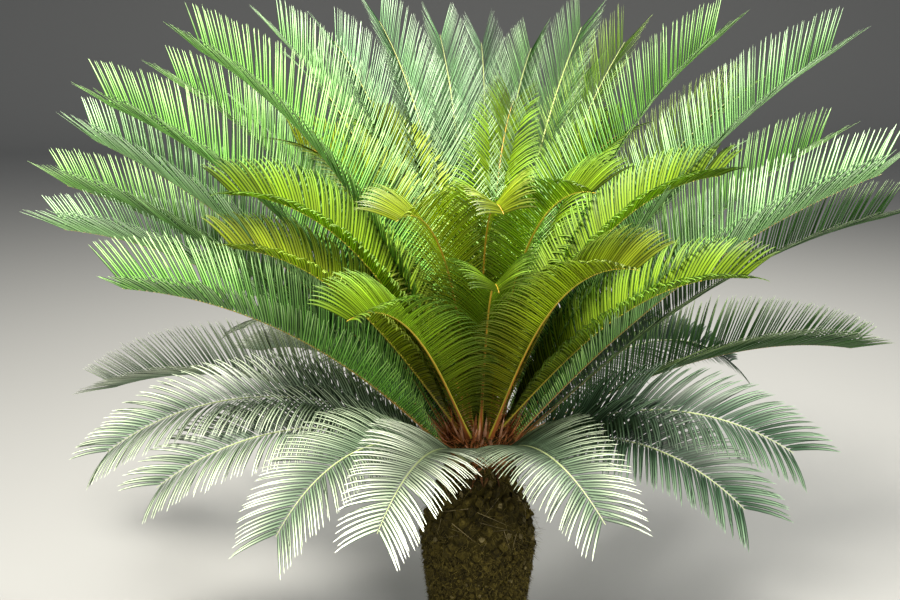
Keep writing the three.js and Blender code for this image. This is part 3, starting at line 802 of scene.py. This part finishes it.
def growStubs(ring):
    rng = np.random.default_rng(ring["seed"])
    shape = stubShape
    rings = len(stubStops)
    rows, columns = ring["rows"], ring["columns"]
    rowHeight = (ring["high"] - ring["low"]) / rows
    row, column = [grid.ravel() for grid in np.meshgrid(np.arange(rows), np.arange(columns), indexing="ij")]
    kept = rng.uniform(0, 1, len(row)) > ring["lost"]
    row, column = row[kept], column[kept]
    count = len(row)
    # every second row stands half a place further round
    angle = (column + 0.5 * (row % 2) + rng.normal(0, ring["slip"], count)) * 2 * math.pi / columns
    z = ring["low"] + (row + shape["rowStart"]) * rowHeight + rng.normal(0, ring["jog"], count)
    z = np.maximum(z, ring["low"])
    radius = trunkRadius(z)
    out, sideways, upward = aroundTrunk(angle)
    lean = ring["lean"] * (1 + rng.normal(0, shape["leanSpread"], count))
    way = unit(out + upward * lean[:, None] + sideways * rng.normal(0, shape["sideSpread"], count)[:, None])
    height = (z - ring["low"]) / (ring["high"] - ring["low"])
    length = mix(*ring["length"], height) * (1 + rng.normal(0, ring["spread"], count))
    length = np.maximum(length, shape["shortest"])
    reach = np.minimum(stubStops, 0) + np.clip(stubStops, 0, 1) * length[:, None]
    root = out * (radius - trunkLook["core"])[:, None] + upward * z[:, None]
    place = root[:, None] + way[:, None] * reach[..., None]
    place += rng.normal(0, shape["nudge"], place.shape)
    turn = rng.normal(0, ring["turn"], count)[:, None]
    across = np.repeat(unit(sideways * np.cos(turn) + upward * np.sin(turn))[:, None], rings, 1)
    face = unit(np.cross(across, np.repeat(way[:, None], rings, 1)))
    slant = rng.normal(0, shape["endSlant"], (count, 1))  # stubs break off at a slant
    face[:, -1] = unit(face[:, -1] + way * slant)
    shrink = np.array([1.0, 1.0, *ring["ends"]]) * (1 + rng.normal(0, shape["ringSpread"], (count, rings)))
    shrink *= (1 + rng.normal(0, shape["sizeSpread"], (count, 1)))
    pale = rng.uniform(0, 1, count) < ring["pale"]
    return {
        "place": place, "across": across, "face": face,
        "width": 2 * math.pi * radius[:, None] / columns * ring["width"] * shrink,
        "thick": 2 * rowHeight * ring["height"] * shrink,
        "share": forEach(count, np.clip(stubStops, 0, 1)),
        "tone": rng.uniform(0, 1, count), "tint": np.zeros(count, int), "pale": pale,
        "rough": rng.normal(0, ring["rough"], (count, len(stubTemplate["shape"]), 3)),
    }


fibreShape = {
    "rings": (0, 0.3, 0.65, 1), "taper": (1, 0.9, 0.6, 0), "widths": (0.6, 1.2), "thick": 0.5, "stray": 0.4,
}
fibreTemplate = strandTemplate(ridgedCorners, len(fibreShape["rings"]), True)


def makeFibres(name, look, material):
    # thin strands that start on the trunk's surface
    rng = np.random.default_rng(look["seed"])
    shape = fibreShape
    count = look["count"]
    angle = rng.uniform(0, 2 * math.pi, count)
    z = rng.uniform(*look["heights"], count)
    out, sideways, upward = aroundTrunk(angle)
    root = out * (trunkRadius(z) + look["start"])[:, None] + upward * z[:, None]
    spread = rng.normal(0, 1, (count, 3)) * look["spread"]
    way = unit(out * look["out"] + upward * look["up"] + sideways * spread[:, :1] + spread * shape["stray"])
    length = rng.uniform(*look["lengths"], count)
    turn = unit(rng.normal(0, 1, (count, 3)))
    bends = [(turn, look["curl"], 1.0)]
    centre, going, across = bendStrands(root, way, sideways, length, shape["rings"], bends)
    taper = np.array(shape["taper"])[None] * look["width"] * rng.uniform(*shape["widths"], (count, 1))
    return makeStrands(name, fibreTemplate, {
        "place": centre, "across": across, "face": np.cross(across, going),
        "width": taper, "thick": taper * shape["thick"], "share": forEach(count, shape["rings"]),
        "tone": rng.uniform(0, 1, count), "tint": np.zeros(count, int),
    }, [material])


core = makeTrunkCore()
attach(core, "root")
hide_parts("trunk")
stubs = joinStrands([growStubs(ring) for ring in stubRings])
stubs["endTint"] = np.repeat(np.where(stubs.pop("pale"), 2, 1), len(stubTemplate["faces"]))
stubPiece = makeStrands("leafBases", stubTemplate, stubs, [
    trunkMaterials["leafBase"], trunkMaterials["leafBaseEnd"], trunkMaterials["paleBaseEnd"]])
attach(stubPiece, "root")
# short hair all over the worn bark, loose fibres higher up, and a few fallen straws caught in the stubs
fibreLooks = {
    "barkHair": {"material": "barkHair", "count": 7000, "heights": (0.012, 0.30), "lengths": (0.006, 0.020),
                 "width": 0.0011, "out": 0.30, "up": -0.8, "spread": 0.6, "curl": 0.9, "start": -0.001,
                 "seed": 52},
    "barkFibres": {"material": "barkHair", "count": 1300, "heights": (0.20, 0.462), "lengths": (0.012, 0.040),
                   "width": 0.0011, "out": 0.40, "up": -0.5, "spread": 1.0, "curl": 1.0, "start": 0.002,
                   "seed": 53},
    "straws": {"material": "straw", "count": 56, "heights": (0.27, 0.44), "lengths": (0.04, 0.10),
               "width": 0.0018, "out": 0.30, "up": -0.5, "spread": 1.0, "curl": 0.12, "start": 0.008,
               "seed": 54},
}
for name, look in fibreLooks.items():
    fibres = makeFibres(name, look, trunkMaterials[look["material"]])
    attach(fibres, "root")
print("trunk dressed")

# the woolly crown: pointed scales and wool between the petioles, and dry scales that hang round the neck
crownWoods = {
    "wool": {"dark": (0.16, 0.042, 0.010), "light": (0.76, 0.30, 0.10), "scale": 45,
             "roughness": 1.0, "bump": 0.6},
    # this pale peach wool is painted highlight on a share of the crown scales; the wool's light colour above
    # is its own orange, raised partly as painted highlight
    "paintedHighlightWool": {"dark": (0.40, 0.16, 0.07), "light": (0.85, 0.52, 0.32), "scale": 45,
                 "spread": 0.6, "roughness": 0.8, "shine": 0.3, "bump": 0.4},
    "dryScale": {"dark": (0.05, 0.020, 0.008), "light": (0.20, 0.085, 0.030), "scale": 60,
                 "roughness": 0.9, "shine": 0.2, "bump": 0.6},
}
crownMaterials = {name: woodyMaterial(name, look) for name, look in crownWoods.items()}
scaleLooks = {
    # pale is the share of scales given the painted highlight wool
    "crownScales": {"count": 560, "length": (0.022, 0.085), "width": (0.004, 0.011), "low": 0.458,
                    "high": 0.575, "rise": (8, 78), "lean": 9, "bend": 0.5, "pale": 0.32, "seed": 63},
    "dryScales": {"count": 46, "length": (0.025, 0.060), "width": (0.006, 0.014), "low": 0.428,
                  "high": 0.474, "rise": (-74, -52), "lean": 12, "bend": -0.4, "pale": 0, "seed": 66},
}
crownWoolLook = {"count": 2800, "heights": (0.452, 0.575), "lengths": (0.012, 0.034), "width": 0.0012,
                 "out": 0.8, "up": 0.7, "spread": 0.8, "curl": 1.4, "start": -0.003, "seed": 74}
scaleShape = {
    "corners": ((-1, 0), (0, -0.5), (1, 0), (0, 0.5)),
    "rings": (0, 0.2, 0.5, 0.8, 1), "taper": (0.8, 1, 0.75, 0.35, 0), "thick": 0.35, "sideSpread": 0.25,
    "sink": 0.008, "topBand": 0.008, "inmost": 0.1,  # in the top band they grow all over the dome
}
scaleTemplate = strandTemplate(scaleShape["corners"], len(scaleShape["rings"]), True)


def growScales(look):
    rng = np.random.default_rng(look["seed"])
    shape = scaleShape
    count = look["count"]
    angle = rng.uniform(0, 2 * math.pi, count)
    height = rng.uniform(0, 1, count)
    z = mix(look["low"], look["high"], height)
    out, sideways, upward = aroundTrunk(angle)
    inward = rng.uniform(shape["inmost"], 1, count)
    radius = trunkRadius(z) * np.where(z > trunk["topHeight"] - shape["topBand"], inward, 1)
    rise = np.radians(mix(*look["rise"], smooth(height)) + rng.normal(0, look["lean"], count))
    way = unit(out * np.cos(rise)[:, None] + upward * np.sin(rise)[:, None]
               + sideways * rng.normal(0, shape["sideSpread"], count)[:, None])
    root = out * (radius - shape["sink"])[:, None] + upward * z[:, None]
    length = rng.uniform(*look["length"], count)
    bends = [(upward, look["bend"], 1.0)]
    centre, going, across = bendStrands(root, way, sideways, length, shape["rings"], bends)
    taper = np.array(shape["taper"])[None] * rng.uniform(*look["width"], (count, 1))
    return {
        "place": centre, "across": across, "face": np.cross(across, going),
        "width": taper, "thick": taper * shape["thick"], "share": forEach(count, shape["rings"]),
        "tone": rng.uniform(0, 1, count), "tint": (rng.uniform(0, 1, count) < look["pale"]).astype(int),
    }


crownScales = makeStrands("crownScales", scaleTemplate, growScales(scaleLooks["crownScales"]), [
    crownMaterials["wool"], crownMaterials["paintedHighlightWool"]])
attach(crownScales, "root")
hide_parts("crown_bud")
dryScales = makeStrands("dryScales", scaleTemplate, growScales(scaleLooks["dryScales"]), [
    crownMaterials["dryScale"]])
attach(dryScales, "root")
crownWool = makeFibres("crownWool", crownWoolLook, crownMaterials["wool"])
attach(crownWool, "root")
print("crown dressed")

# a plain pale floor that curves up behind
floorLook = {"front": -12.0, "back": 11.0, "curve": 3.0, "curveSteps": 13, "top": 9.0, "half": 14.0,
             "colour": (0.25, 0.25, 0.247), "roughness": 0.9}


def makeFloor():
    look = floorLook
    bm = bmesh.new()
    turn = [(look["back"] + look["curve"] * math.sin(a), look["curve"] * (1 - math.cos(a)))
            for a in np.linspace(0, math.pi / 2, look["curveSteps"])]
    profile = [(look["front"], 0.0)] + turn + [(look["back"] + look["curve"], look["top"])]
    line = [bm.verts.new((-look["half"], y, z)) for y, z in profile]
    edges = [bm.edges.new(pair) for pair in zip(line, line[1:])]
    grown = bmesh.ops.extrude_edge_only(bm, edges=edges)["geom"]
    moved = [item for item in grown if isinstance(item, bmesh.types.BMVert)]
    bmesh.ops.translate(bm, vec=(2 * look["half"], 0, 0), verts=moved)
    bmesh.ops.recalc_face_normals(bm, faces=bm.faces)
    mesh = meshFrom(bm, "floor")
    material = bpy.data.materials.new("paleFloor")
    material.use_nodes = True
    shader = material.node_tree.nodes["Principled BSDF"]
    shader.inputs["Base Color"].default_value = (*look["colour"], 1)
    shader.inputs["Roughness"].default_value = look["roughness"]
    mesh.materials.append(material)
    floor = addObject("floor", mesh)


lamps = [
    {"name": "keyLight", "place": (-1.0, -1.6, 4.9), "size": 1.3, "power": 640, "colour": (1.0, 0.96, 0.86)},
    {"name": "rightFill", "place": (3.2, -3.2, 2.4), "size": 3.0, "power": 180, "colour": (1.0, 0.99, 0.94)},
    {"name": "leftFill", "place": (-3.3, -3.0, 1.7), "size": 2.6, "power": 90, "colour": (1.0, 0.99, 0.94)},
    {"name": "backLight", "place": (1.2, 3.0, 4.6), "size": 1.6, "power": 340, "colour": (1.0, 0.98, 0.90)},
]
lampAim = (0, 0, 0.9)
skyLook = {"colour": (0.92, 0.96, 1.0), "strength": 0.28}


def addLamp(lamp):
    data = bpy.data.lights.new(lamp["name"], "AREA")
    data.energy = lamp["power"]
    data.size = lamp["size"]
    data.color = lamp["colour"]
    light = addObject(lamp["name"], data)
    light.location = lamp["place"]
    light.rotation_euler = (Vector(lampAim) - light.location).to_track_quat("-Z", "Y").to_euler()


def makeSky():
    world = bpy.data.worlds.new("studio")
    world.use_nodes = True
    background = world.node_tree.nodes["Background"]
    background.inputs["Color"].default_value = (*skyLook["colour"], 1)
    background.inputs["Strength"].default_value = skyLook["strength"]
    bpy.context.scene.world = world


makeFloor()
for lamp in lamps:
    addLamp(lamp)
makeSky()
bpy.context.scene.view_settings.view_transform = "Standard"
print("stage ready")

bpy.context.view_layer.update()
